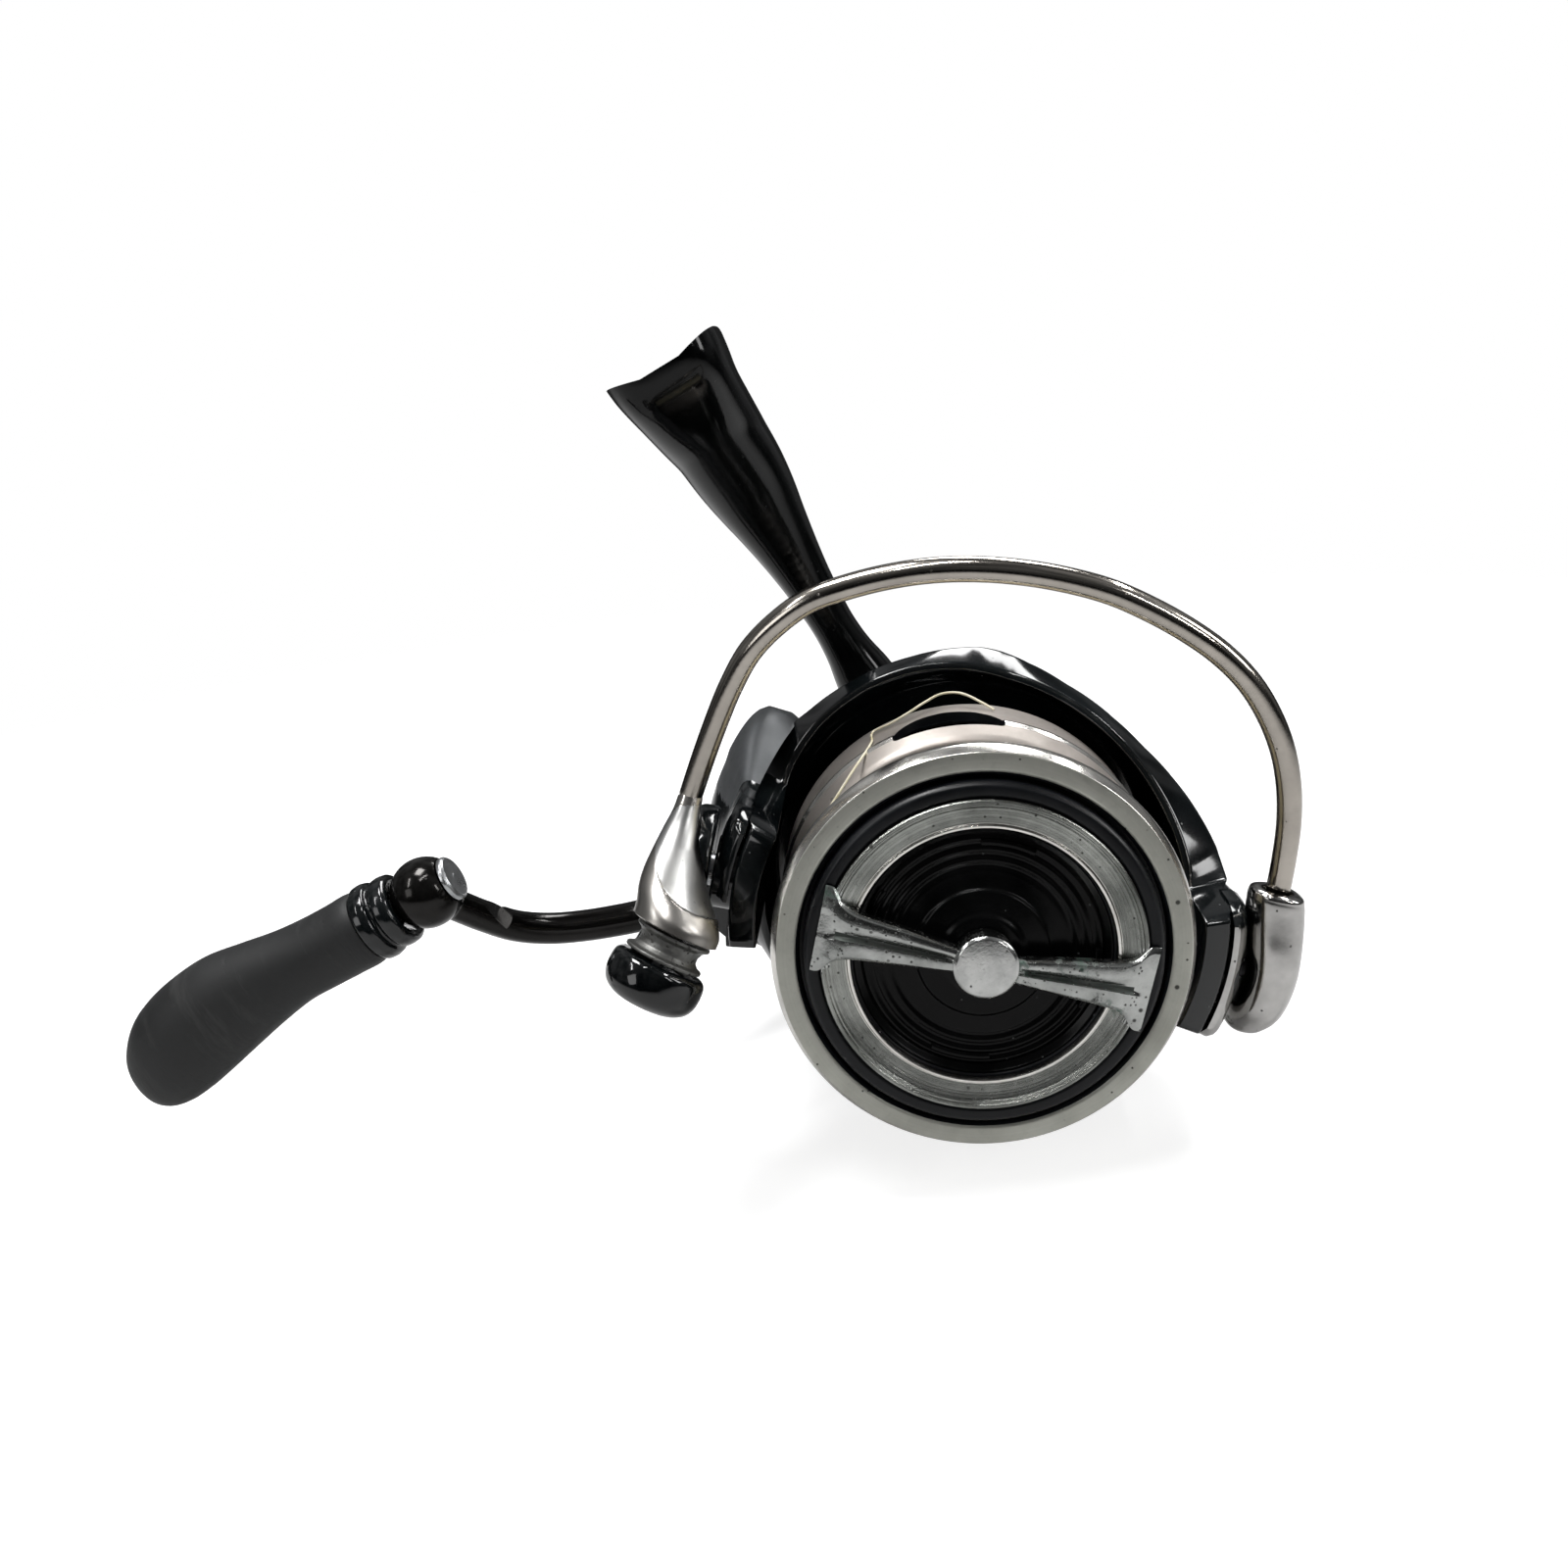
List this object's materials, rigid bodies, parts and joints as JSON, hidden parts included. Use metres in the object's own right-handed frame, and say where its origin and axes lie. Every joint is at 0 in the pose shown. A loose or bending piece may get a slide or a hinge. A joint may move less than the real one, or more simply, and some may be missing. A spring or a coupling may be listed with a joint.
{
  "type": "spinning reel",
  "caption": "Spinning fishing reel with saddle foot, crank handle and paddle knob, turning rotor with folding wire bail, oscillating skirted spool and front drag knob.",
  "frame": {"origin": "on the flat strip along the saddle of the foot, the face that seats on the rod, at the stem's station", "axes": "+Z out of the foot towards the rod, -Y the way the spool faces along the spool shaft, -X the handle side"},
  "size_m": [0.1475, 0.089, 0.1017],
  "materials": {
    "gloss_black": "deep gloss black paint with a faint blue-green tint",
    "satin_black": "satin black moulding",
    "lip_silver": "satin anodised beige silver with polished edges",
    "chrome": "bright plating with pits and green corrosion",
    "polished": "polished metal tube",
    "polished_aluminium": "bright polished aluminium",
    "gunmetal": "dark gunmetal gloss",
    "silver_cover": "satin grey silver paint",
    "steel": "plain steel",
    "brass": "machined brass",
    "rubber": "soft-touch charcoal rubber with scuffs",
    "line": "pale straw monofilament",
    "felt": "greased drag felt",
    "gear_plastic": "moulded gear plastic"
  },
  "bodies": {
    "body": {"reel_body": "gloss_black", "side_cover": "gloss_black", "tail_cover": "satin_black", "tail_screw": "steel", "cover_screw_1": "steel", "cover_screw_2": "steel", "cover_screw_3": "steel", "socket_cap": "satin_black", "drive_bearing_left": "steel", "drive_bearing_right": "steel", "pinion_bearing": "steel", "one_way_clutch": "steel", "guide_rod": "steel"},
    "handle": {"drive_gear": "brass", "handle_shank": "steel", "handle_joint": "satin_black", "handle_arm": "gunmetal", "knob_spindle": "steel"},
    "handle_knob": {"handle_knob": "rubber", "knob_collar": "gloss_black"},
    "rotor": {"rotor": "gloss_black", "rotor_nut": "steel", "pinion_gear": "brass", "clutch_sleeve": "steel", "lever_arm_cover": "silver_cover", "holder_arm_cover": "silver_cover", "bail_spring": "steel"},
    "bail": {"bail_wire": "polished", "bail_cone": "polished_aluminium", "bail_lever": "gloss_black", "roller_screw": "steel", "roller_bearing": "steel", "lever_pivot_screw": "steel", "bail_holder": "chrome", "holder_pivot_screw": "steel"},
    "line_roller": {"line_roller": "steel"},
    "oscillation_gear": {"oscillation_gear": "gear_plastic"},
    "shaft": {"main_shaft": "steel", "slider": "satin_black", "spool_seat": "brass", "keyed_washer": "steel"},
    "spool": {"spool": "lip_silver", "line_pack": "line", "spool_bearing": "steel", "felt_washer_rear": "felt", "felt_washer_front": "felt", "eared_washer": "steel", "washer_clip": "steel"},
    "drag_knob": {"drag_knob": "satin_black", "knob_trim": "chrome", "knob_cap": "chrome", "drag_nut": "brass", "drag_spring": "steel", "pressure_plate": "steel"}
  },
  "joints": [
    {"name": "handle_turn", "type": "hinge", "parent": "body", "child": "handle", "pos_m": [0, 0.013, -0.0807], "axis": [1, 0, 0], "continuous": true},
    {"name": "knob_spin", "type": "hinge", "parent": "handle", "child": "handle_knob", "pos_m": [-0.085, -0.0226, -0.0391], "axis": [1, 0, 0], "continuous": true},
    {"name": "rotor_turn", "type": "hinge", "parent": "body", "child": "rotor", "pos_m": [0, -0.017, -0.0722], "axis": [0, 1, 0], "continuous": true},
    {"name": "bail_open", "type": "hinge", "parent": "rotor", "child": "bail", "pos_m": [0, -0.033, -0.0722], "axis": [0.7604, 0, -0.6494], "range_deg": [0, 100]},
    {"name": "roller_spin", "type": "hinge", "parent": "bail", "child": "line_roller", "pos_m": [-0.02991, -0.04448, -0.05465], "axis": [-0.8037, -0.2506, -0.5397], "continuous": true},
    {"name": "oscillation_turn", "type": "hinge", "parent": "body", "child": "oscillation_gear", "pos_m": [-0.004, 0.0238, -0.0807], "axis": [1, 0, 0], "continuous": true},
    {"name": "shaft_stroke", "type": "slide", "parent": "body", "child": "shaft", "axis": [0, -1, 0], "range_m": [-0.003, 0.008]},
    {"name": "spool_slip", "type": "hinge", "parent": "shaft", "child": "spool", "pos_m": [0, -0.037, -0.0722], "axis": [0, 1, 0], "continuous": true},
    {"name": "drag_turn", "type": "hinge", "parent": "shaft", "child": "drag_knob", "pos_m": [0, -0.045, -0.0722], "axis": [0, 1, 0], "continuous": true}
  ],
  "couplings": [
    {"joint": "rotor_turn", "follows": "handle_turn", "ratio": 5},
    {"joint": "oscillation_turn", "follows": "handle_turn", "ratio": -0.5}
  ]
}
